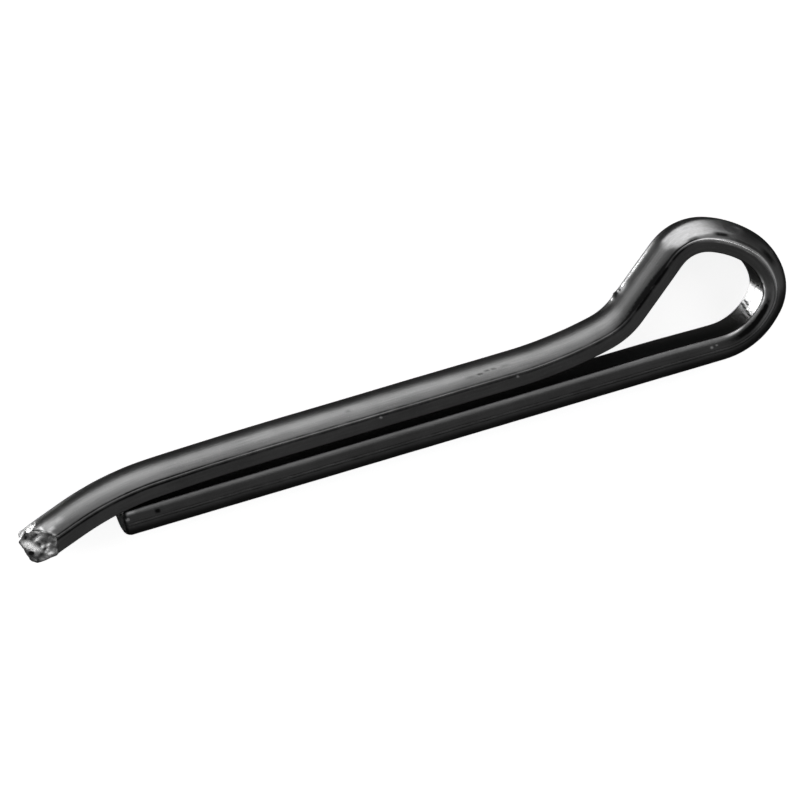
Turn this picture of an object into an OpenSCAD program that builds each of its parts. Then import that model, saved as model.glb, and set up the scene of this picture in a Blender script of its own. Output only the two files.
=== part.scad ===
// Hammer-lock cotter pin: one length of half-round wire folded over an
// offset eye into a short straight prong and a long prong whose cut end is
// bent across the tip of the short one. It lies on its side: +X runs along
// the prongs towards the eye, +Y points from the short prong to the long
// one, and the eye opens along +Z. Millimetres.

/* [Wire] */
// Diameter of the circle that the crowns of both prongs lie on
shank_d = 5.16; // [5:0.02:5.4]
// Width of the wire between its two flat sides
wire_w = 4.4; // [4.1:0.05:4.7]
// Open gap left between the inner flats of the prongs
leg_gap = 0.74; // [0.4:0.02:0.9]
// Rounding of the two corners beside the inner flat
corner_r = 0.3; // [0.15:0.01:0.4]

/* [Prongs] */
// Straight run of the short prong, from its cut end to the eye
short_len = 46.3; // [44:0.1:48]
// Straight run of the long prong
long_len = 17.1; // [16:0.1:18]
// Radius of the slight bow that follows it
bow_r = 400; // [350:10:450]
// Angle of that bow
bow_a = 1.5; // [1.3:0.1:1.7]
// Radius of the bend that leads the long prong over the short tip
tip_bend_r = 21.2; // [20:0.2:23]
// Angle of that bend
tip_bend_a = 17.9; // [16.5:0.1:18.5]
// Straight run from the bend to the longest point of the cut end
tip_len = 4.2; // [3.8:0.1:4.6]

/* [Eye] */
// Inner radius where the short prong turns up into the eye
eye_r1 = 4.15; // [3.8:0.05:4.5]
// Angle turned on that radius
eye_a1 = 44; // [42:0.5:46]
// Short straight between the first two bends of the eye
eye_flat = 0.4; // [0.3:0.05:0.6]
// Inner radius at the far end of the eye
eye_r2 = 1.85; // [1.7:0.05:2.1]
// Angle turned on that radius
eye_a2 = 51; // [49:0.5:53]
// Inner radius of the upper far shoulder of the eye
eye_r3 = 3.2; // [2.9:0.1:3.5]
// Angle turned on that radius
eye_a3 = 39.5; // [38:0.5:41]
// Inner radius over the top of the eye
eye_r4 = 6.2; // [5.8:0.1:6.6]
// Angle turned on that radius
eye_a4 = 25.5; // [24:0.5:27]
// Inner radius where the top of the eye turns down into the neck
eye_r5 = 2.3; // [2.1:0.1:2.6]

/* [Neck] */
// Flat-side radius of the bend from the neck into the long prong
neck_r1 = 6.6; // [6.2:0.1:7]
// Angle turned on that radius
neck_a1 = 27.6; // [26.6:0.2:28.6]
// Flat-side radius of the long easy bend that follows it
neck_r2 = 34.4; // [32:0.4:37]
// Angle turned on that radius
neck_a2 = 11.9; // [11:0.1:13]

/* [Cut ends] */
// Height above the wire's middle at which the long prong is longest
ridge_z = 0.83; // [0.6:0.01:1]
// Slant of the cut face below that ridge
cut_skew = 14; // [11:0.5:17]
// How far the nipped slope above the ridge reaches back along the top side
nip_len = 2; // [1.8:0.05:2.2]
// Slope of that nipped side
nip_a = 38.3; // [36:0.1:40]
// How far the nipped slope is turned towards the crown
nip_turn = 30; // [24:1:34]
// Length of the crown's torn skin beside the cut
skin_len = 1.75; // [1.4:0.05:2]
// Slope of that torn skin
skin_a = 10.5; // [6:0.5:12]
// Bevel on the crown edge of the long prong's cut face
long_bevel = 0.6; // [0.4:0.05:0.7]
// Bevel on its flat edge
flat_bevel = 0.2; // [0.1:0.05:0.3]
// Bevel on the crown edge of the short prong's square end
short_bevel = 0.4; // [0.2:0.05:0.5]

/* [Hidden] */
$fn = 96;

crown_r = shank_d / 2;
half_w = wire_w / 2;
// height of the crown above the inner flat, and of the sides' top edge
crown_h = crown_r - leg_gap / 2;
side_h = sqrt(crown_r * crown_r - half_w * half_w) - leg_gap / 2;
neck_a = neck_a1 + neck_a2;
// every second run of the wire is slimmer by seat, and reaches on by lap
// inside the runs beside it, so that all of them join into one body
seat = 0.02;
lap = 0.1;
eye_a5 = 180 + neck_a - eye_a1 - eye_a2 - eye_a3 - eye_a4;

// The inner flat's centre line is a chain of tangent runs. A run is
// [length, radius, turn]: straight where the radius is 0, turning left for
// a positive angle and right for a negative one.
eye_runs = [
  [short_len, 0, 0], [0, eye_r1, eye_a1], [eye_flat, 0, 0],
  [0, eye_r2, eye_a2], [0, eye_r3, eye_a3], [0, eye_r4, eye_a4],
  [0, eye_r5, eye_a5]
];
bend_runs = [[0, neck_r1, -neck_a1], [0, neck_r2, -neck_a2]];
// the neck is as long as brings the long prong's flat to its own side
neck_top = pose(eye_runs, len(eye_runs));
bends = pose(bend_runs, 2, [0, 0, neck_top[2]]);
neck_len = (leg_gap / 2 - neck_top[1] - bends[1]) / sin(neck_top[2]);
runs = concat(eye_runs, [[neck_len, 0, 0]], bend_runs,
  [[long_len, 0, 0], [0, bow_r, bow_a], [0, tip_bend_r, tip_bend_a],
   [tip_len, 0, 0]]);

// Position and heading after one run, and after the first n runs
function step(p, s) = s[1] == 0
  ? [p[0] + s[0] * cos(p[2]), p[1] + s[0] * sin(p[2]), p[2]]
  : let (g = sign(s[2]), h = p[2] + s[2])
    [p[0] + g * s[1] * (sin(h) - sin(p[2])),
     p[1] - g * s[1] * (cos(h) - cos(p[2])), h];
function pose(list, n, from = [-short_len, -leg_gap / 2, 0]) =
  n == 0 ? from : step(pose(list, n - 1, from), list[n - 1]);

// The angle that a length takes up on a radius
function turn(e, r) = e / r * 180 / PI;

// the middle of the pin's length and width, put at the origin
eye_end = pose(eye_runs, 3);
eye_x = eye_end[0] + eye_r2 * (1 - sin(eye_end[2])) + crown_h - seat;
tip = pose(runs, len(runs));
top = pose(eye_runs, 6);
top_y = top[1] + crown_h;
tip_y = tip[1] + 0.07;
mid_x = (eye_x + tip[0] - 0.43) / 2;
mid_y = (top_y + min(-crown_r, tip_y)) / 2;

// Half-round wire: X is the height above the inner flat, Y the width
module section(d = 0) {
  difference() {
    intersection() {
      translate([-leg_gap / 2, 0]) circle(r = crown_r - d);
      translate([d, -half_w + d]) square([crown_h + 1, wire_w - 2 * d]);
    }
    for (s = [-1, 1]) translate([d, s * (half_w - d)]) corner(s);
  }
}

// What a rounded corner takes off the section
module corner(s) {
  difference() {
    translate([-0.01, s > 0 ? -corner_r : -0.01])
      square([corner_r + 0.01, corner_r + 0.01]);
    translate([corner_r, -s * corner_r]) circle(r = corner_r);
  }
}

// One run of the wire from its starting position and heading, slimmer by d
// and longer by e at both ends
module run(p, s, d, e) {
  x = cos(p[2]);
  y = sin(p[2]);
  r = s[1];
  if (r == 0)
    translate([p[0] + (s[0] + e) * x, p[1] + (s[0] + e) * y, 0])
      rotate([90, 0, p[2] - 90]) linear_extrude(s[0] + 2 * e) section(d);
  else if (s[2] > 0)
    translate([p[0] - r * y, p[1] + r * x, 0])
      rotate([0, 0, p[2] - 90 - turn(e, r)])
        rotate_extrude(angle = s[2] + 2 * turn(e, r))
          translate([r, 0]) section(d);
  else
    translate([p[0] + r * y, p[1] - r * x, 0])
      rotate([0, 0, p[2] + 90 + s[2] - turn(e, r)])
        rotate_extrude(angle = -s[2] + 2 * turn(e, r))
          translate([r, 0]) mirror([1, 0]) section(d);
}

// What the cutters took off the long prong: the face below the ridge, the
// nipped slope above it, the torn skin and the bevels of the two edges
module long_cut() {
  translate([tip[0], tip[1], 0]) rotate([0, 0, tip[2] - 90]) {
    // here X is the height above the flat, Y the way the prong runs
    translate([0, 0, ridge_z]) rotate([-cut_skew, 0, 0])
      translate([-1, 0, -4]) cube([crown_h + 2, 4, 8]);
    translate([0, -nip_len, half_w]) rotate([-nip_a, 0, -nip_turn])
      translate([-6, -6, 0]) cube([12, 12, 4]);
    translate([crown_h, -skin_len, 0]) rotate([0, 0, skin_a])
      translate([0, -1, -half_w - 1]) cube([3, 6, wire_w + 2]);
    translate([crown_h, -long_bevel, 0]) rotate([0, 0, 45])
      translate([0, -2, -half_w - 1]) cube([3, 6, wire_w + 2]);
    translate([0, -flat_bevel, 0]) rotate([0, 0, -45])
      translate([-3, -2, -half_w - 1]) cube([3, 6, wire_w + 2]);
  }
}

// The bevel on the short prong's square end
module short_cut() {
  translate([-short_len, -crown_r + short_bevel, 0]) rotate([0, 0, 45])
    translate([-1, -1.2, -half_w - 1]) cube([1, 1.3, wire_w + 2]);
}

module cotter_pin() {
  color([0.12, 0.12, 0.125]) translate([-mid_x, -mid_y, half_w])
    difference() {
      union() for (i = [0 : len(runs) - 1])
        run(pose(runs, i), runs[i], seat * (i % 2), lap * (i % 2));
      long_cut();
      short_cut();
    }
}

cotter_pin();
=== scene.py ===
import math

import bpy
import numpy as np
from mathutils import Matrix, Vector


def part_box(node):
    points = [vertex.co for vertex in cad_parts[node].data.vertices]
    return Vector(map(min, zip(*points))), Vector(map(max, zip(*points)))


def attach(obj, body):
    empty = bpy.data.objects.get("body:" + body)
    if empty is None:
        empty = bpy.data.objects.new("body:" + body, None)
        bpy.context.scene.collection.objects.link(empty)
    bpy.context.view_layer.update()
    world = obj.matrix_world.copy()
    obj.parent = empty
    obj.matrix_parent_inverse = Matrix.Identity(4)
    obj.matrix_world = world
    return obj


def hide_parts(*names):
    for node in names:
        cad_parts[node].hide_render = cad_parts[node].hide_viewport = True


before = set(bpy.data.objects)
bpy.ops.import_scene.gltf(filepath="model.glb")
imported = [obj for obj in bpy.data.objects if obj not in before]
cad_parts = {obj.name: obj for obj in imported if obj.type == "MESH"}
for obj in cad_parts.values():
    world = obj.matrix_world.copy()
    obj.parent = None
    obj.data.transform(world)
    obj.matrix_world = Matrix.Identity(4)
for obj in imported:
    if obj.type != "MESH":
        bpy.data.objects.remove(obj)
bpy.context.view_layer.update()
node_lo, node_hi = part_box("cotter_pin")

MM = 0.001

# ---------------------------------------------------------------- the wire
# The pin's own numbers, in millimetres, as the CAD source has them.
SHANK_R = 2.58
HALF_W = 2.2
GAP = 0.74
CORNER = 0.3
CROWN_H = SHANK_R - GAP / 2
SIDE_H = math.sqrt(SHANK_R**2 - HALF_W**2) - GAP / 2
SHORT = 46.3
LONG = 17.1
TIP = 4.2
EYE = [(4.15, 44.0), (0.4, None), (1.85, 51.0), (3.2, 39.5), (6.2, 25.5), (2.3, 59.5)]
NECK = [(6.6, -27.6), (34.4, -11.9)]
TIP_BENDS = [(400.0, 1.5), (21.2, 17.9)]
CUT_SKEW = math.tan(math.radians(14))
RIDGE_Z = 0.83
SKIN = (1.75, math.tan(math.radians(10.5)))


def advance(p, length, radius, turn):
    """The end of one run of the flat's centre line."""
    x, y, a = p
    if radius == 0:
        return (x + length * math.cos(a), y + length * math.sin(a), a)
    g = 1.0 if turn > 0 else -1.0
    b = a + math.radians(turn)
    return (
        x + g * radius * (math.sin(b) - math.sin(a)),
        y - g * radius * (math.cos(b) - math.cos(a)),
        b,
    )


def eye_chain():
    runs = [(SHORT, 0, 0)]
    for r, t in EYE:
        runs.append((r, 0, 0) if t is None else (0, r, t))
    return runs


def full_chain():
    runs = eye_chain()
    p = (-SHORT, -GAP / 2, 0.0)
    for r in runs:
        p = advance(p, *r)
    q = (0.0, 0.0, p[2])
    for r, t in NECK:
        q = advance(q, 0, r, t)
    neck = (GAP / 2 - p[1] - q[1]) / math.sin(p[2])
    runs.append((neck, 0, 0))
    runs += [(0, r, t) for r, t in NECK]
    runs.append((LONG, 0, 0))
    runs += [(0, r, t) for r, t in TIP_BENDS]
    runs.append((TIP, 0, 0))
    return runs


RUNS = full_chain()


def dense_path(step=0.02):
    """Arc length, point and heading along the flat's centre line."""
    p = (-SHORT, -GAP / 2, 0.0)
    at, xs, ys, hs, s0 = [], [], [], [], 0.0
    marks = [0.0]
    for length, radius, turn in RUNS:
        total = length if radius == 0 else radius * math.radians(abs(turn))
        n = max(2, int(round(total / step)))
        for k in range(n):
            t = total * k / n
            if radius == 0:
                q = advance(p, t, 0, 0)
            else:
                q = advance(p, 0, radius, math.copysign(math.degrees(t / radius), turn))
            at.append(s0 + t)
            xs.append(q[0])
            ys.append(q[1])
            hs.append(q[2])
        p = advance(p, length, radius, turn)
        s0 += total
        marks.append(s0)
    at.append(s0)
    xs.append(p[0])
    ys.append(p[1])
    hs.append(p[2])
    return np.array(at), np.array(xs), np.array(ys), np.array(hs), marks


AT, PX, PY, PH, MARKS = dense_path()
TOTAL = MARKS[-1]


def eased(values, width=0.7, step=0.02):
    """A running mean along the path, so that bends ease in as bent wire does."""
    s = np.arange(0, TOTAL + step / 2, step)
    v = np.interp(s, AT, values)
    n = int(round(width / step)) | 1
    pad = np.concatenate(
        [v[0] + (v[0] - v[1 : n // 2 + 1][::-1]), v, v[-1] + (v[-1] - v[-n // 2 : -1][::-1])]
    )
    return s, np.convolve(pad, np.ones(n) / n, "same")[n // 2 : n // 2 + len(v)]


S_E, X_E = eased(PX)
_, Y_E = eased(PY)
_, H_E = eased(PH)

# the middle of the model's length and width is the origin, as the box of the
# CAD node says
SEAT = 0.02
eye3 = (-SHORT, -GAP / 2, 0.0)
for run in RUNS[:3]:
    eye3 = advance(eye3, *run)
EYE_X = eye3[0] + 1.85 * (1 - math.sin(eye3[2])) + CROWN_H - SEAT
top = (-SHORT, -GAP / 2, 0.0)
for run in RUNS[:6]:
    top = advance(top, *run)
TOP_Y = top[1] + 2.3 * (math.cos(top[2]) + 1) + CROWN_H
MID_X = EYE_X - node_hi.x / MM
MID_Y = TOP_Y - node_hi.y / MM
MID_Z = (node_lo.z + node_hi.z) / 2 / MM


def place(s, h, z):
    """Points of the row frame, in mm, from path length, height over the flat
    and width across the wire."""
    x = np.interp(s, S_E, X_E)
    y = np.interp(s, S_E, Y_E)
    a = np.interp(s, S_E, H_E)
    # beyond the ends the path runs straight on
    over = np.where(s < 0, s, np.where(s > TOTAL, s - TOTAL, 0.0))
    x = x + over * np.cos(a)
    y = y + over * np.sin(a)
    return np.stack(
        [x + h * np.sin(a) - MID_X, y - h * np.cos(a) - MID_Y, z + MID_Z], -1
    )


# ---------------------------------------------------------------- noise
def lattice(ix, iy, iz, seed):
    """One fixed value from -1 to 1 for each whole-number cell."""
    n = (
        ix.astype(np.int64) * 374761393
        + iy.astype(np.int64) * 668265263
        + iz.astype(np.int64) * 2147483647
        + seed * 1274126177
    ) & 0xFFFFFFFF
    n = ((n ^ (n >> 13)) * 1274126177) & 0xFFFFFFFF
    n = n ^ (n >> 16)
    return (n & 0xFFFFFF) / float(0x7FFFFF) - 1.0


def noise(x, y, z=0.0, seed=1):
    x, y, z = np.broadcast_arrays(x, y, np.asarray(z, float))
    fx, fy, fz = np.floor(x), np.floor(y), np.floor(z)
    ux, uy, uz = x - fx, y - fy, z - fz
    ux, uy, uz = (u * u * u * (u * (u * 6 - 15) + 10) for u in (ux, uy, uz))
    out = 0.0
    for dx in (0, 1):
        for dy in (0, 1):
            for dz in (0, 1):
                w = (
                    (ux if dx else 1 - ux)
                    * (uy if dy else 1 - uy)
                    * (uz if dz else 1 - uz)
                )
                out = out + w * lattice(fx + dx, fy + dy, fz + dz, seed)
    return out


def fractal(x, y, z=0.0, seed=1, octaves=4, gain=0.5):
    out, amp, f, total = 0.0, 1.0, 1.0, 0.0
    for k in range(octaves):
        out = out + amp * noise(np.asarray(x) * f, np.asarray(y) * f, np.asarray(z) * f, seed + 17 * k)
        total += amp
        amp *= gain
        f *= 2.03
    return out / total


def bump_at(v, centre, width):
    return np.exp(-(((v - centre) / width) ** 2))


# ---------------------------------------------------------------- section
def half_outline():
    """Points (h, z, normal h, normal z, a) of the upper half of the section,
    from the middle of the flat round to the crown's crest. a is the distance
    along the outline from the crease between side and crown."""
    pts = []
    side_len = SIDE_H - CORNER
    fillet_len = CORNER * math.pi / 2
    for z in np.linspace(0, HALF_W - CORNER, 9)[:-1]:
        pts.append((0.0, z, -1.0, 0.0, -(side_len + fillet_len + HALF_W - CORNER - z)))
    for t in np.linspace(0, math.pi / 2, 9)[:-1]:
        pts.append(
            (
                CORNER - CORNER * math.cos(t),
                HALF_W - CORNER + CORNER * math.sin(t),
                -math.cos(t),
                math.sin(t),
                -(side_len + fillet_len - CORNER * t),
            )
        )
    for a in (-0.678, -0.57, -0.46, -0.37, -0.3, -0.24, -0.19, -0.145, -0.105, -0.07, -0.035):
        a = max(a, -side_len)
        pts.append((SIDE_H + a, HALF_W, 0.0, 1.0, a))
    crest = math.asin(HALF_W / SHANK_R)
    arc = crest * SHANK_R
    near = [0.0, 0.035, 0.07, 0.105, 0.145, 0.19, 0.24, 0.3, 0.38, 0.48]
    far = list(np.linspace(0.6, arc, 17))
    for a in near + far:
        f = crest - a / SHANK_R
        pts.append(
            (
                SHANK_R * math.cos(f) - GAP / 2,
                SHANK_R * math.sin(f),
                math.cos(f),
                math.sin(f),
                a,
            )
        )
    # the crease is a narrow round, not a knife edge
    return pts


UP = half_outline()
DOWN = [(h, -z, nh, -nz, a) for h, z, nh, nz, a in UP[1:-1]][::-1]
OUT = np.array(UP + DOWN)
SIGN = np.array([1.0] * len(UP) + [-1.0] * len(DOWN))
COLS = len(OUT)
OH, OZ, NH, NZ, OA = OUT.T
ARC = math.asin(HALF_W / SHANK_R) * SHANK_R
# one running coordinate round the wire, 0 at the crest, plus up and minus down
AROUND = SIGN * (ARC - OA)


def reshape_corner(corner, land):
    """The same columns with another corner between flat and side: a round of
    the given radius, or a worn land sloping down to the flat."""
    h, z = OH.copy(), np.abs(OZ)
    side_len = SIDE_H - CORNER
    fillet_len = CORNER * math.pi / 2
    on_flat = OA < -(side_len + fillet_len) - 1e-9
    on_side = (OA > -side_len - 1e-9) & (OA < 0)
    in_corner = ~on_flat & (OA <= -side_len - 1e-9)
    u = np.clip((-OA - side_len) / fillet_len, 0, 1)
    # u is 0 where the corner meets the side and 1 where it meets the flat
    steps = np.linspace(0, 1, 201)
    if land:
        tilt = np.interp(steps, [0, 0.10, 0.80, 1.0], [4, 24, 46, 90])
    else:
        tilt = 90 * steps
    dh = np.cumsum(np.cos(np.radians(tilt)))
    dz = np.cumsum(np.sin(np.radians(tilt)))
    dh, dz = dh - dh[0], dz - dz[0]
    scale = corner / dh[-1]
    drop = dz[-1] * scale
    h[in_corner] = corner - np.interp(u[in_corner], steps, dh) * scale
    z[in_corner] = HALF_W - np.interp(u[in_corner], steps, dz) * scale
    h[on_side] = SIDE_H + OA[on_side] * (SIDE_H - corner) / side_len
    z[on_flat] = z[on_flat] * (HALF_W - drop) / (HALF_W - CORNER)
    return h, z * np.where(OZ < 0, -1.0, 1.0)


SHARP = reshape_corner(0.13, False)
ROUND = (OH, OZ)
WORN = reshape_corner(0.44, True)


def section_at(s):
    """Column heights and widths at path length s: a worn land along the short
    prong, a plain round in the eye and a sharper edge along the long prong."""
    s = np.asarray(s, float)
    worn = 1 / (1 + np.exp((s - 47.5) / 0.8))
    sharp = 1 / (1 + np.exp(-(s - 58.5) / 1.0))
    # only the upper side was seen to wear
    up = SIGN > 0
    worn = np.where(up, worn, 0.0)
    h = ROUND[0] + worn * (WORN[0] - ROUND[0]) + sharp * (SHARP[0] - ROUND[0])
    z = ROUND[1] + worn * (WORN[1] - ROUND[1]) + sharp * (SHARP[1] - ROUND[1])
    # the prongs are a little deeper than the bent eye, most of all at the tip
    deeper = 0.12 / (1 + np.exp((s - 44.0) / 1.2))
    deeper = deeper + 0.05 / (1 + np.exp(-(s - 72.0) / 1.5))
    deeper = deeper + 0.10 / (1 + np.exp(-(s - 100.0) / 1.2))
    return h - deeper * (1 - h / CROWN_H), z


# ---------------------------------------------------------------- marks
# Small dents and burrs: path length, place round the wire, half lengths
# along and across, and how deep (minus) or proud (plus), in millimetres.
NICKS = [
    # dents beside the crease over the eye
    (55.85, 2.10, 0.42, 0.17, -0.055),
    (52.75, 1.95, 0.45, 0.26, -0.05),
    (57.45, 2.35, 0.30, 0.12, -0.03),
    # torn burr on the outside of the neck, with a smaller one above it
    (63.50, -0.35, 0.26, 0.55, 0.10),
    (63.12, 0.10, 0.12, 0.25, 0.04),
    (62.80, -0.30, 0.14, 0.45, -0.03),
    # bright specks beside the eye
    (45.25, 3.12, 0.11, 0.12, 0.065),
    (45.68, 3.24, 0.10, 0.10, 0.055),
    (0.26, 3.13, 0.09, 0.10, 0.055),
    (2.53, 3.13, 0.18, 0.18, -0.03),
    # tool ticks at the far end of the eye
    (49.20, -4.40, 0.05, 0.50, -0.03),
    (49.10, -5.25, 0.05, 0.50, -0.03),
    (49.00, 5.15, 0.05, 0.50, -0.03),
    (48.90, 4.35, 0.05, 0.50, -0.03),
    (49.50, -4.60, 0.05, 0.45, -0.02),
    (49.42, -5.30, 0.05, 0.40, -0.02),
    (48.62, 5.00, 0.06, 1.10, -0.02),
    (51.55, 3.75, 0.05, 0.22, -0.03),
]

# Places rubbed to bare metal, and places painted bright as highlights and
# reflections: path length, place round the wire, half lengths along and across, strength.
RUBBED_AND_HIGHLIGHTS = [
    # painted reflection: the inner flat at the far end of the eye, and its rounded edge, painted near
    # white
    (49.95, 4.9, 1.35, 2.2, 1.0),
    (50.15, -4.8, 1.35, 2.4, 0.50),
    # light scratch on the flat below it
    (47.95, -5.0, 0.05, 0.45, 0.5),
    (50.2, 3.5, 1.5, 0.16, 0.9),
    # edge of the flat just before the far end
    (47.3, 3.6, 0.7, 0.10, 0.5),
    # bare metal along the crease over the eye, painted bright as a highlight
    (55.6, 2.62, 2.1, 0.14, 1.3),
    (52.4, 2.60, 1.6, 0.13, 1.3),
    (50.2, 2.62, 1.2, 0.11, 0.45),
    # neck's outer edge: bare metal by the burr, painted bright as a highlight
    (60.9, -0.05, 1.7, 0.34, 0.9),
    (62.78, 0.05, 0.46, 0.60, 1.3),
    (63.98, -0.15, 0.12, 0.30, 1.2),
    # crown beside the cut: torn bare metal, painted bright as a highlight
    (TOTAL - 2.70, 1.50, 0.45, 0.45, 0.10),
    (TOTAL - 2.30, 1.00, 0.40, 0.40, 0.14),
    (TOTAL - 2.62, 1.85, 0.25, 0.14, 0.35),
    (TOTAL - 2.00, 1.25, 0.10, 0.45, 0.60),
    (TOTAL - 1.10, 0.30, 0.85, 0.85, 0.95),
    (TOTAL - 3.35, 1.60, 0.35, 0.25, 0.12),
    # specks
    (45.25, 3.12, 0.10, 0.10, 1.3),
    (45.65, 3.22, 0.08, 0.06, 1.3),
    (84.84, 2.79, 0.09, 0.06, 1.3),
    (74.28, 2.76, 0.09, 0.06, 1.3),
    (52.71, 1.14, 0.10, 0.09, 1.1),
    (0.26, 3.13, 0.09, 0.10, 1.8),
    (0.55, 3.55, 0.35, 0.14, 0.20),
]

# Dark grime and painted shade, in the same form: most entries paint shade nearly black in dents, tool
# ticks, the crease and beside the burr, and along the lower edges of the crowns.
GRIME_AND_SHADE = [
    # painted shade in the dents and along the crease over the eye, in a band along the flat's edge at
    # the far end of the eye, and beside the neck's burr
    (55.85, 2.10, 0.50, 0.20, 1.0),
    (52.75, 1.95, 0.55, 0.32, 0.9),
    (54.2, 2.30, 1.2, 0.12, 0.7),
    (57.45, 2.35, 0.30, 0.12, 0.7),
    (48.8, 3.16, 2.1, 0.25, 1.3),
    (63.52, -0.25, 0.29, 0.75, 1.3),
    # painted shade darkening the lower edge of the neck's crown
    (62.3, 2.40, 3.0, 0.23, 0.95),
    # painted shade along the underside of the tip's crown
    (TOTAL - 7.0, -0.88, 6.2, 0.42, 0.75),
    # painted shade in the tool ticks at the far end of the eye
    (49.20, -4.40, 0.07, 0.60, 1.2),
    (49.10, -5.25, 0.07, 0.60, 1.2),
    (49.00, 5.15, 0.07, 0.60, 1.2),
    (48.90, 4.35, 0.07, 0.60, 1.2),
    (49.50, -4.60, 0.06, 0.50, 1.1),
    (49.42, -5.30, 0.06, 0.45, 1.1),
    (48.62, 5.00, 0.09, 1.10, 1.0),
    # painted shade near the short prong's end, in a dent beside it and in one more tool tick
    (0.02, 3.60, 0.22, 0.50, 1.4),
    (2.53, 3.13, 0.20, 0.20, 1.3),
    (51.55, 3.75, 0.06, 0.25, 1.0),
    # faint flecks along the long prong's crown
    (76.85, 1.77, 0.20, 0.08, 0.80),
    (76.28, 1.63, 0.18, 0.07, 0.65),
    (75.80, 1.63, 0.16, 0.07, 0.65),
    (74.90, 1.66, 0.30, 0.09, 0.32),
    (77.65, 1.82, 0.32, 0.08, 0.30),
    (86.95, 1.60, 0.20, 0.10, 0.35),
]

# On the cut end: height over the flat, width across, half lengths along a
# direction (degrees from the height), and strength; raised crests painted bright as highlights, sunk
# pits painted dark as shade.
CRESTS = [
    (1.14, 0.85, 0.52, 0.13, -38, 2.2),
    (0.80, 1.02, 0.22, 0.13, -60, 1.1),
    (1.90, 1.26, 0.17, 0.12, 10, 1.3),
    (1.40, 1.24, 0.15, 0.11, 60, 1.2),
    (0.76, 1.47, 0.13, 0.10, 0, 1.2),
    (0.42, 1.64, 0.16, 0.08, 40, 1.2),
    (0.72, 1.76, 0.09, 0.09, 0, 1.1),
    (0.14, 1.84, 0.09, 0.16, 20, 1.2),
    (1.80, 0.10, 0.25, 0.20, 0, 0.9),
]
PITS = [
    (1.70, 1.12, 0.14, 0.12, 10, 1.0),
    (1.80, 0.56, 0.17, 0.15, 0, 1.0),
    (0.64, 0.78, 0.20, 0.14, -30, 1.7),
    (0.54, 1.52, 0.12, 0.10, 30, 1.0),
    (0.28, 1.30, 0.25, 0.10, 60, 0.8),
    (1.05, 1.20, 0.20, 0.08, -45, 0.7),
    (1.30, 1.75, 0.20, 0.10, 30, 0.6),
]


def spots(table, s, around):
    out = np.zeros(np.broadcast(s, around).shape)
    for ns, na, ls, la, deep in table:
        u = np.abs((s - ns) / ls) ** 3 + np.abs((around - na) / la) ** 3
        out = np.maximum(out, deep * np.exp(-u))
    return out


def spots_on_cut(table, h, z):
    out = np.zeros(np.broadcast(h, z).shape)
    for nh, nz, long, wide, turned, deep in table:
        c, t = math.cos(math.radians(turned)), math.sin(math.radians(turned))
        u, v = (h - nh) * c + (z - nz) * t, -(h - nh) * t + (z - nz) * c
        out = np.maximum(out, deep * np.exp(-((u / long) ** 2) - (v / wide) ** 2))
    return out


def pressed(s, around):
    """The stretch of crown that the bending tool pressed flat: how much of it
    a place is in, 0 to 1, and how far round the wire its middle lies."""
    ragged = 0.10 * noise(around * 3.0, 2.0, 0.0, 51)
    left = 0.5 - 0.5 * np.tanh((s - 58.55 + ragged + 0.25 * (around - 1.4)) / 0.14)
    right = 1 / (1 + np.exp(-(s - 54.75 + ragged) / 0.12))
    return left * right, np.interp(s, [54.8, 56.6, 58.3], [0.85, 1.28, 1.72])


def crease_shade(s, a, sign):
    """Painted shade along both sides of the crease, darkest where the wire is bent."""
    bent = 0.52 + 0.48 * np.clip(
        np.exp(-(((s - 60.5) / 4.0) ** 4)) + 1 / (1 + np.exp(-(s - 97.0) / 2.0)), 0, 1
    )
    bent = 1.25 * bent * (1 - 0.75 * np.exp(-(((s - 54.4) / 2.2) ** 4)))
    wide = 0.055 + 0.05 * np.exp(-(((s - 61.0) / 3.0) ** 2))
    line = bump_at(a, -0.095, wide) + 1.05 * bump_at(a, 0.15, wide)
    return bent * line * (0.8 + 0.3 * noise(s * 1.3, sign * 2.0, 0.0, 61))


def relief(s, around, a, sign, h, z):
    """How far the skin stands proud of the plain wire, in mm."""
    d = np.zeros(np.broadcast(s, a).shape)
    # rolled flash line along both creases: a narrow bead with a shallow
    # furrow on each side, strongest over the eye
    swell = 0.75 + 0.35 * noise(s * 0.45, sign * 3.1, 0.0, 5) + 0.25 * noise(
        s * 2.3, sign * 7.7, 0.0, 6
    )
    bead = bump_at(a, 0.0, 0.05)
    over_eye = np.exp(-(((s - 55.0) / 2.6) ** 4)) * (sign > 0)
    d += swell * (0.005 + 0.012 * over_eye) * bead
    d -= swell * (0.012 * bump_at(a, 0.13, 0.05) + 0.034 * bump_at(a, -0.11, 0.07))
    # crown pressed flat over the eye
    share, middle = pressed(s, around)
    off = np.clip(np.abs(around - middle), 0, 0.85)
    chord = SHANK_R * (np.cos(off / SHANK_R) - math.cos(0.85 / SHANK_R))
    d -= 0.85 * chord * share
    # long shallow waves left by drawing and bending
    d += 0.006 * noise(s * 0.16, around * 0.5, 0.0, 11) * (a > -0.6)
    d += 0.003 * noise(s * 0.9, around * 1.3, 0.0, 12)
    # draw lines
    d += 0.0012 * noise(s * 0.12, around * 9.0, 0.0, 13)
    for ns, na, ls, la, deep in NICKS:
        q = ((s - ns) / ls) ** 2 + ((around - na) / la) ** 2
        d += deep * np.exp(-q * 1.5)
    return d


# ---------------------------------------------------------------- cut ends
def softmin(values, k):
    v = np.stack(np.broadcast_arrays(*values))
    m = v.min(0)
    return m - k * np.log(np.exp(-(v - m) / k).sum(0))


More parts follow.
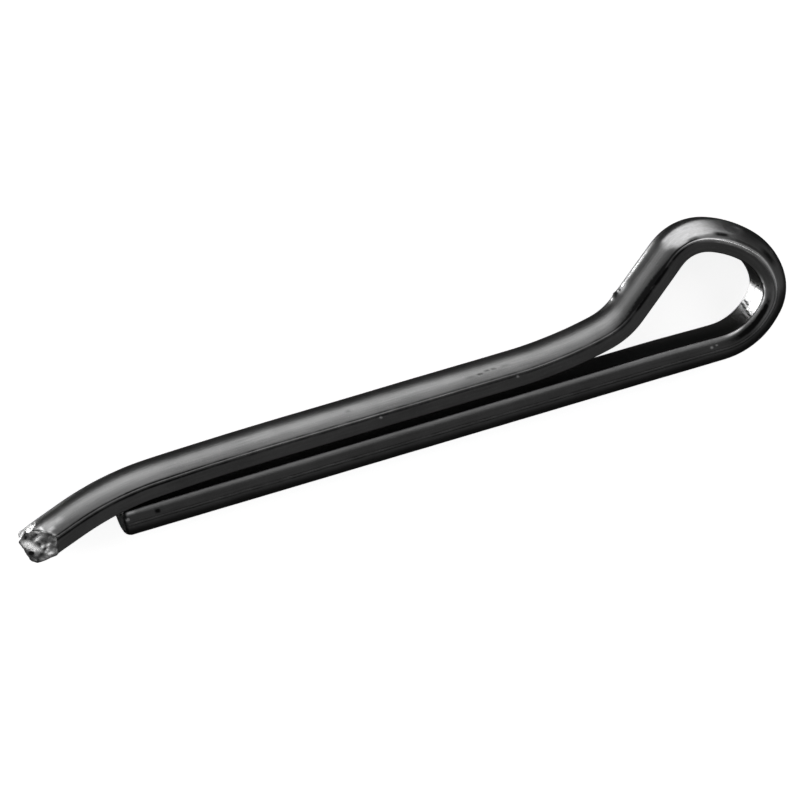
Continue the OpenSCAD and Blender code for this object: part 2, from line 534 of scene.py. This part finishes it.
def long_end(h, z):
    """Where the long prong ends, at height h over the flat and width z, and
    how much of that is the nipped slope. Measured from the nominal tip."""
    slant = (z - RIDGE_Z) * CUT_SKEW
    nip = -2.0 + 1.465 * (HALF_W - z) - 0.579 * h
    crown = -0.96 + 1.6 * (CROWN_H - h)
    flat = -0.2 + h
    low = -0.3 + 1.2 * (z + HALF_W)
    y = softmin([slant, nip, crown, flat, low], 0.09)
    share = 1 / (1 + np.exp((nip - np.minimum(slant, np.minimum(crown, flat))) / 0.08))
    return y, share


def fracture(h, z):
    """Torn metal on the nipped slope and the slanted face."""
    f = 0.10 * fractal(h * 1.9, z * 1.4, 0.0, 31, 5, 0.55)
    f += 0.07 * np.abs(fractal(h * 3.1 + 4.0, z * 2.3, 0.0, 47, 4, 0.55))
    f += 0.05 * spots_on_cut(CRESTS, h, z) - 0.11 * spots_on_cut(PITS, h, z)
    return f


def short_end(h, z):
    """Where the short prong starts: square, with its rim rounded over."""
    r = 0.30 + 0.28 * np.clip((h - SIDE_H) / (CROWN_H - SIDE_H), 0, 1)
    crown = np.clip(np.hypot(h + GAP / 2, z) - (SHANK_R - r), 0, r)
    crown = crown * np.clip((h - SIDE_H + 0.25) / 0.35, 0, 1)
    round_over = r - np.sqrt(r * r - crown**2)
    reach = 0.07 + 0.38 * np.clip(h / SIDE_H, 0, 1) ** 2
    side = np.clip((np.abs(z) - (HALF_W - 0.26)) / 0.26, 0, 1) ** 2 * reach
    flat = np.clip((0.16 - h) / 0.16, 0, 1) ** 2 * 0.1
    return np.maximum(round_over, np.maximum(side, flat)) + 0.012 * fractal(
        h * 3.0, z * 3.0, 0.0, 71, 3
    )


# ---------------------------------------------------------------- the mesh
# stretches whose small marks need closer rings
FINE = ((44.9, 45.95), (48.5, 49.6), (63.0, 64.0), (74.15, 74.4), (84.7, 84.95))


def ring_stations():
    """Path lengths of the rings between the two cut ends."""
    st = [1.0]
    edges = MARKS
    kinds = RUNS
    s = 1.0
    stop = TOTAL - 3.4
    while s < stop:
        k = min(int(np.searchsorted(edges, s, "right")) - 1, len(kinds) - 1)
        length, radius, turn = kinds[k]
        if radius == 0:
            gap = 0.18
        else:
            reach = radius + CROWN_H if turn > 0 else radius
            gap = min(0.14, 0.125 * radius / reach)
        if any(lo < s < hi for lo, hi in FINE):
            gap = 0.05
        s += gap
        st.append(s)
    st[-1] = stop
    return np.array(st)


def build_pin():
    verts, along, around, fresh, edge, bare_and_highlight, grime_and_shade = [], [], [], [], [], [], []
    faces = []

    def add_ring(s, h, z, extra, fr):
        """s, h, z per column; extra is the relief; fr the fresh-metal share."""
        # torn skin beside the cut
        back = s - TOTAL + SKIN[0]
        deep = SKIN[1] * back + 0.10
        torn = np.where(
            back + 0.25 * noise(AROUND * 2.6, 5.0, 0.0, 95) > 0,
            np.clip(h - (CROWN_H - np.minimum(deep, 0.30)), 0, 1),
            0.0,
        )
        h = h - torn * (1 + 0.35 * fractal(s * 2.2, AROUND * 2.2, 0.0, 97, 3))
        fr = np.maximum(fr, np.clip(torn / 0.04, 0, 1))
        p = place(s, h + NH_R * extra, z + NZ_R * extra)
        start = sum(len(v) for v in verts)
        verts.append(p)
        along.append(np.array(s, float))
        around.append(AROUND.copy())
        fresh.append(np.broadcast_to(fr, s.shape).astype(float))
        edge.append(np.exp(-((OA / 0.07) ** 2)))
        # burnished crown pressed flat over the eye, painted a little lighter as a sheen; it joins the
        # bare and highlight spots
        share, middle = pressed(s, AROUND)
        share = share * np.exp(-((np.abs(AROUND - middle) / 0.92) ** 6))
        bare_and_highlight.append(spots(RUBBED_AND_HIGHLIGHTS, s, AROUND) + 0.19 * share)
        # painted shade: the crease lines and the shaded spots of the table are painted dark
        grime_and_shade.append(spots(GRIME_AND_SHADE, s, AROUND) + crease_shade(s, OA, SIGN))
        return start

    # rounded normals at the crease for the relief
    global NH_R, NZ_R
    nh, nz = NH.copy(), NZ.copy()
    near = np.abs(OA) < 0.05
    nh[near] = NH[near] * 0.5 + 0.26
    nz[near] = np.sign(OZ[near]) * (np.abs(NZ[near]) * 0.5 + 0.45)
    ln = np.hypot(nh, nz)
    NH_R, NZ_R = nh / ln, nz / ln

    rings = []
    ones = np.ones(COLS)

    # short prong's cut end: from the rim inwards it is a disc of rings
    st = ring_stations()
    h0, z0 = section_at(0.0)
    s_rim = short_end(h0, z0)
    for t in np.linspace(0, 1, 16)[:-1]:
        s = s_rim + (st[0] - s_rim) * t**1.2
        h, z = section_at(s)
        d = relief(s, AROUND, OA, SIGN, h, z)
        rings.append(add_ring(s, h, z, d, 0.0))
    for s0 in st[:-1]:
        s = s0 * ones
        h, z = section_at(s)
        d = relief(s, AROUND, OA, SIGN, h, z)
        rings.append(add_ring(s, h, z, d, 0.0))
    # long prong's cut end
    h1, z1 = section_at(TOTAL)
    y_rim, nip_rim = long_end(h1, z1)
    y_rim = y_rim + 0.5 * fracture(h1, z1)
    s_rim2 = TOTAL + y_rim
    for t in np.linspace(0, 1, 52):
        s = st[-1] + (s_rim2 - st[-1]) * (1 - (1 - t) ** 1.35)
        h, z = section_at(s)
        d = relief(s, AROUND, OA, SIGN, h, z)
        # burr thrown up along the nip
        left = s_rim2 - s
        d = d + nip_rim * 0.05 * np.exp(-((left / 0.14) ** 2)) * (
            0.7 + 0.5 * noise(AROUND * 4.0, 0.3, 0.0, 91)
        )
        fr = np.clip(1.0 - left / (0.10 + 0.12 * (noise(AROUND * 5.0, 1.7, 0.0, 93) + 1)), 0, 1)
        rings.append(add_ring(s, h, z, d, fr))
    for a, b in zip(rings, rings[1:]):
        for c in range(COLS):
            e = (c + 1) % COLS
            faces.append((a + c, a + e, b + e, b + c))

    # the two cut faces, as shrinking copies of the outline
    def cap(first, end_fn, steps, flip, fr, rim, centre=(1.0, 0.0)):
        last = first
        hc, zc = centre
        for k in range(1, steps + 1):
            t = k / (steps + 1.0)
            # closer together near the rim
            t = t**1.15
            h = rim[0] + (hc - rim[0]) * t
            z = rim[1] + (zc - rim[1]) * t
            s = end_fn(h, z, t)
            start = sum(len(v) for v in verts)
            verts.append(place(s, h, z))
            along.append(np.array(s, float))
            around.append(AROUND.copy())
            fresh.append(fr * np.ones(COLS))
            edge.append(np.zeros(COLS))
            # painted highlights on the long cut's crests; painted shade in its pits on the next line
            bare_and_highlight.append(spots_on_cut(CRESTS, h, z) * (fr > 0.5))
            # painted shade: the short prong's end face is painted nearly black all over
            grime_and_shade.append(spots_on_cut(PITS, h, z) if fr > 0.5 else np.full(COLS, 0.9))
            for c in range(COLS):
                e = (c + 1) % COLS
                q = (last + c, last + e, start + e, start + c)
                faces.append(q[::-1] if flip else q)
            last = start
        h, z = np.array([hc]), np.array([zc])
        s = end_fn(h, z, 1.0)
        mid = sum(len(v) for v in verts)
        verts.append(place(s, h, z))
        along.append(s)
        around.append(np.zeros(1))
        fresh.append(fr * np.ones(1))
        edge.append(np.zeros(1))
        bare_and_highlight.append(np.zeros(1))
        # painted shade at the middle of the short prong's end face
        grime_and_shade.append(np.full(1, 0.0 if fr > 0.5 else 0.9))
        for c in range(COLS):
            e = (c + 1) % COLS
            tri = (last + c, last + e, mid)
            faces.append(tri[::-1] if flip else tri)

    def long_cap(h, z, t):
        y, share = long_end(h, z)
        rise = np.clip(t / 0.12, 0, 1)
        return TOTAL + y + fracture(h, z) * (0.5 + 0.5 * rise)

    def short_cap(h, z, t):
        return short_end(h, z)

    cap(rings[-1], long_cap, 30, False, 1.0, (h1, z1))
    cap(rings[0], short_cap, 12, True, 0.12, (h0, z0))

    v = np.concatenate(verts) * MM
    # stay inside the CAD box
    lo = np.array(node_lo) + 2e-6
    hi = np.array(node_hi) - 2e-6
    v = np.clip(v, lo, hi)
    mesh = bpy.data.meshes.new("cotter_pin_wire")
    mesh.from_pydata(v.tolist(), [], faces)
    for name, data in (
        ("along", np.concatenate(along)),
        ("around", np.concatenate(around)),
        ("fresh", np.concatenate(fresh)),
        ("edge", np.concatenate(edge)),
        ("bare_and_highlight", np.concatenate(bare_and_highlight)),
        ("grime_and_shade", np.concatenate(grime_and_shade)),
    ):
        att = mesh.attributes.new(name, "FLOAT", "POINT")
        att.data.foreach_set("value", data.astype(np.float32))
    mesh.validate()
    mesh.update()
    mesh.shade_smooth()
    obj = bpy.data.objects.new("cotter_pin_wire", mesh)
    bpy.context.scene.collection.objects.link(obj)
    return obj


# ---------------------------------------------------------------- material
def nodes_of(mat):
    mat.use_nodes = True
    nt = mat.node_tree
    nt.nodes.clear()
    return nt, nt.nodes, nt.links


def steel():
    mat = bpy.data.materials.new("dark_drawn_steel")
    nt, nodes, links = nodes_of(mat)
    out = nodes.new("ShaderNodeOutputMaterial")
    bsdf = nodes.new("ShaderNodeBsdfPrincipled")
    links.new(bsdf.outputs[0], out.inputs[0])
    bsdf.inputs["Metallic"].default_value = 1.0

    def attr(name):
        n = nodes.new("ShaderNodeAttribute")
        n.attribute_name = name
        return n.outputs["Fac"]

    def math_(op, a, b=None, clamp=False):
        n = nodes.new("ShaderNodeMath")
        n.operation = op
        n.use_clamp = clamp
        for i, v in enumerate((a, b)):
            if v is None:
                continue
            if isinstance(v, (int, float)):
                n.inputs[i].default_value = v
            else:
                links.new(v, n.inputs[i])
        return n.outputs[0]

    def mapped(x_scale, y_scale, z=0.0):
        """Wire coordinates in mm: along and around, each scaled."""
        n = nodes.new("ShaderNodeCombineXYZ")
        links.new(math_("MULTIPLY", along, x_scale), n.inputs[0])
        links.new(math_("MULTIPLY", around, y_scale), n.inputs[1])
        n.inputs[2].default_value = z
        return n.outputs[0]

    def tex(vec, scale=1.0, detail=3.0, rough=0.55):
        n = nodes.new("ShaderNodeTexNoise")
        n.inputs["Scale"].default_value = scale
        n.inputs["Detail"].default_value = detail
        n.inputs["Roughness"].default_value = rough
        links.new(vec, n.inputs["Vector"])
        return n.outputs["Fac"]

    def ramp(fac, stops):
        n = nodes.new("ShaderNodeValToRGB")
        els = n.color_ramp.elements
        while len(els) < len(stops):
            els.new(0.5)
        for e, (pos, val) in zip(els, stops):
            e.position = pos
            e.color = (val, val, val, 1)
        links.new(fac, n.inputs[0])
        return n.outputs[0]

    def mix(fac, a, b):
        n = nodes.new("ShaderNodeMix")
        n.data_type = "RGBA"
        for i, v in ((0, fac), (6, a), (7, b)):
            if isinstance(v, (int, float)):
                n.inputs[i].default_value = v
            elif isinstance(v, tuple):
                n.inputs[i].default_value = v
            else:
                links.new(v, n.inputs[i])
        return n.outputs[2]

    along = attr("along")
    around = attr("around")
    fresh = attr("fresh")
    edge = attr("edge")
    bare_and_highlight = attr("bare_and_highlight")
    grime_and_shade = attr("grime_and_shade")
    obj = nodes.new("ShaderNodeTexCoord").outputs["Object"]

    # tone: dark oxide with long streaks, fine speckle and worn edges
    streak = tex(mapped(0.35, 7.0), 1.0, 4.0, 0.6)
    fine = tex(mapped(2.2, 22.0, 3.0), 1.0, 3.0, 0.6)
    grain = tex(obj, 9000.0, 3.0, 0.6)
    cloud = tex(obj, 260.0, 3.0, 0.55)
    tone = math_("ADD", math_("MULTIPLY", streak, 0.5), math_("MULTIPLY", cloud, 0.5))
    dark = ramp(tone, [(0.32, 0.092), (0.5, 0.12), (0.68, 0.15)])
    dark = mix(ramp(grain, [(0.55, 0.0), (0.78, 0.5)]), dark, (0.19, 0.19, 0.193, 1))
    # crease bead rubbed bright here and there
    rub = math_(
        "MULTIPLY",
        edge,
        ramp(tex(mapped(1.1, 0.5, 8.0), 1.0, 4.0, 0.6), [(0.42, 0.0), (0.62, 1.0)]),
    )
    dark = mix(math_("MULTIPLY", rub, 0.5), dark, (0.24, 0.24, 0.243, 1))
    # bare metal where the forming tools rubbed, and painted highlights and reflections, with ragged
    # edges
    ragged = tex(mapped(3.0, 3.6, 5.0), 1.0, 4.0, 0.65)
    scuff = tex(mapped(5.0, 9.0, 2.0), 1.0, 3.0, 0.6)
    uneven = math_("ADD", math_("MULTIPLY", ragged, 1.5), math_("MULTIPLY", scuff, 0.9))
    uneven = math_("SUBTRACT", uneven, 0.2)
    bare_and_highlight = math_("MULTIPLY", bare_and_highlight, uneven, clamp=True)
    dark = mix(bare_and_highlight, dark, (0.72, 0.72, 0.725, 1))
    # torn metal on the cut end: bright facets over dark
    torn = tex(obj, 2600.0, 5.0, 0.6)
    shiny = ramp(torn, [(0.38, 0.035), (0.50, 0.11), (0.66, 0.24)])
    col = mix(fresh, dark, shiny)
    # painted highlights: the crests of the cut painted near white
    col = mix(math_("MULTIPLY", bare_and_highlight, fresh), col, (0.92, 0.92, 0.92, 1))
    # grime and painted shade: the dark spots, crease lines, pits and the short prong's end painted
    # nearly black
    soot_and_shade = math_("MULTIPLY", grime_and_shade, math_("ADD", math_("MULTIPLY", ragged, 1.4), 0.4), clamp=True)
    col = mix(soot_and_shade, col, (0.012, 0.012, 0.012, 1))
    links.new(col, bsdf.inputs["Base Color"])

    rough = math_("ADD", math_("MULTIPLY", fine, 0.14), math_("MULTIPLY", grain, 0.08))
    rough = math_("ADD", rough, 0.20)
    rough = math_("ADD", rough, math_("MULTIPLY", cloud, 0.06))
    rough = math_("SUBTRACT", rough, math_("MULTIPLY", rub, 0.12))
    rough = math_("SUBTRACT", rough, math_("MULTIPLY", fresh, 0.12))
    rough = math_("SUBTRACT", rough, math_("MULTIPLY", bare_and_highlight, 0.10))
    rough = math_("ADD", rough, math_("MULTIPLY", soot_and_shade, 0.25))
    links.new(rough, bsdf.inputs["Roughness"])

    # height: draw lines, pits and the crystals of the break
    height = math_("MULTIPLY", fine, 0.004)
    height = math_("ADD", height, math_("MULTIPLY", streak, 0.003))
    height = math_("ADD", height, math_("MULTIPLY", grain, 0.0015))
    crystals = math_("MULTIPLY", tex(obj, 6500.0, 4.0, 0.65), 0.05)
    height = math_("ADD", height, math_("MULTIPLY", crystals, fresh))
    bump = nodes.new("ShaderNodeBump")
    bump.inputs["Strength"].default_value = 1.0
    bump.inputs["Distance"].default_value = 0.001
    links.new(height, bump.inputs["Height"])
    links.new(bump.outputs[0], bsdf.inputs["Normal"])
    return mat


def plain(name, value, rough=0.9, glow=0.0):
    mat = bpy.data.materials.new(name)
    nt, nodes, links = nodes_of(mat)
    out = nodes.new("ShaderNodeOutputMaterial")
    bsdf = nodes.new("ShaderNodeBsdfPrincipled")
    bsdf.inputs["Base Color"].default_value = (value, value, value, 1)
    bsdf.inputs["Roughness"].default_value = rough
    bsdf.inputs["Specular IOR Level"].default_value = 0.0
    bsdf.inputs["Emission Color"].default_value = (1, 1, 1, 1)
    bsdf.inputs["Emission Strength"].default_value = glow
    links.new(bsdf.outputs[0], out.inputs[0])
    return mat


pin = build_pin()
pin.data.materials.append(steel())
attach(pin, "root")
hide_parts("cotter_pin")

# ---------------------------------------------------------------- stage
floor_mesh = bpy.data.meshes.new("floor")
R = 0.6
floor_mesh.from_pydata(
    [(-R, -R, 0), (R, -R, 0), (R, R, 0), (-R, R, 0)], [], [(0, 1, 2, 3)]
)
floor = bpy.data.objects.new("floor", floor_mesh)
floor.location.z = node_lo.z - 1e-5
floor.data.materials.append(plain("pale_floor", 0.8, glow=0.82))
# the pin is lit as in a dark tent: it doesn't mirror the floor, and the strip
# light behind it shines on it down to and under the horizon
floor.visible_glossy = False
floor.visible_shadow = False
bpy.context.scene.collection.objects.link(floor)


def soft_light(name, azimuth, elevation, dist, wide, high, radiance):
    """A soft panel aimed at the pin. Azimuth 0 is behind it (+Y), 90 is its
    right (+X)."""
    a, e = math.radians(azimuth), math.radians(elevation)
    d = Vector((math.sin(a) * math.cos(e), math.cos(a) * math.cos(e), math.sin(e)))
    data = bpy.data.lights.new(name, "AREA")
    data.shape = "RECTANGLE"
    data.size, data.size_y = wide, high
    data.energy = radiance * math.pi * wide * high
    ob = bpy.data.objects.new(name, data)
    ob.location = d * dist
    ob.rotation_mode = "QUATERNION"
    ob.rotation_quaternion = d.to_track_quat("Z", "Y")
    ob.visible_camera = False
    bpy.context.scene.collection.objects.link(ob)
    return ob


soft_light("back_strip", 4, -6, 0.45, 0.72, 0.28, 3.2)
soft_light("back_panel", 14, 29, 0.45, 0.54, 0.24, 1.15)
soft_light("left_panel", -52, -5, 0.45, 0.20, 0.24, 1.7)
soft_light("left_fill", -108, 15, 0.45, 0.24, 0.40, 1.0)
soft_light("low_left_fill", -55, -48, 0.45, 0.20, 0.20, 0.9)
soft_light("left_card", -70, 27, 0.45, 0.20, 0.20, 1.5)
soft_light("right_fill", 92, 0, 0.45, 0.35, 0.50, 0.25)
soft_light("front_fill", 180, 8, 0.45, 0.50, 0.16, 0.12)
soft_light("right_card", 66, 45, 0.45, 0.14, 0.14, 2.2)
soft_light("low_left", -72, -74, 0.45, 0.18, 0.085, 5.0)

world = bpy.data.worlds.new("studio")
world.use_nodes = True
wt = world.node_tree
wt.nodes["Background"].inputs[0].default_value = (1, 1, 1, 1)
turn = wt.nodes.new("ShaderNodeTexCoord")
split = wt.nodes.new("ShaderNodeSeparateXYZ")
wt.links.new(turn.outputs["Generated"], split.inputs[0])
fade = wt.nodes.new("ShaderNodeMapRange")
fade.interpolation_type = "SMOOTHSTEP"
fade.inputs["From Min"].default_value = -0.25
fade.inputs["From Max"].default_value = 0.35
fade.inputs["To Min"].default_value = 0.01
fade.inputs["To Max"].default_value = 0.19
wt.links.new(split.outputs[2], fade.inputs["Value"])
wt.links.new(fade.outputs[0], wt.nodes["Background"].inputs[1])
pale = wt.nodes.new("ShaderNodeBackground")
pale.inputs[1].default_value = 0.9
seen = wt.nodes.new("ShaderNodeLightPath")
both = wt.nodes.new("ShaderNodeMixShader")
wt.links.new(seen.outputs["Is Camera Ray"], both.inputs[0])
wt.links.new(wt.nodes["Background"].outputs[0], both.inputs[1])
wt.links.new(pale.outputs[0], both.inputs[2])
wt.links.new(both.outputs[0], wt.nodes["World Output"].inputs[0])
bpy.context.scene.world = world

# ---------------------------------------------------------------- camera
rx = Vector((0.94718, -0.23409, 0.21920)).normalized()
uy = Vector((0.28006, 0.93680, -0.20970)).normalized()
c = rx.cross(uy).normalized()
uy = c.cross(rx)
# the point between the prongs where the eye begins
aim = Vector((-MID_X, -MID_Y, MID_Z)) * MM
cam_data = bpy.data.cameras.new("camera")
cam_data.type = "PERSP"
cam_data.sensor_width = 36.0
cam_data.lens = 36.0 * 760.0 / 58.82
cam_data.clip_start, cam_data.clip_end = 0.01, 5.0
cam = bpy.data.objects.new("camera", cam_data)
loc = aim + (c * 760.0 - rx * 23.16 - uy * 5.47) * MM
cam.matrix_world = Matrix(
    (
        (rx.x, uy.x, c.x, loc.x),
        (rx.y, uy.y, c.y, loc.y),
        (rx.z, uy.z, c.z, loc.z),
        (0, 0, 0, 1),
    )
)
bpy.context.scene.collection.objects.link(cam)
bpy.context.scene.camera = cam

bpy.context.scene.view_settings.view_transform = "Standard"
bpy.context.scene.view_settings.look = "None"
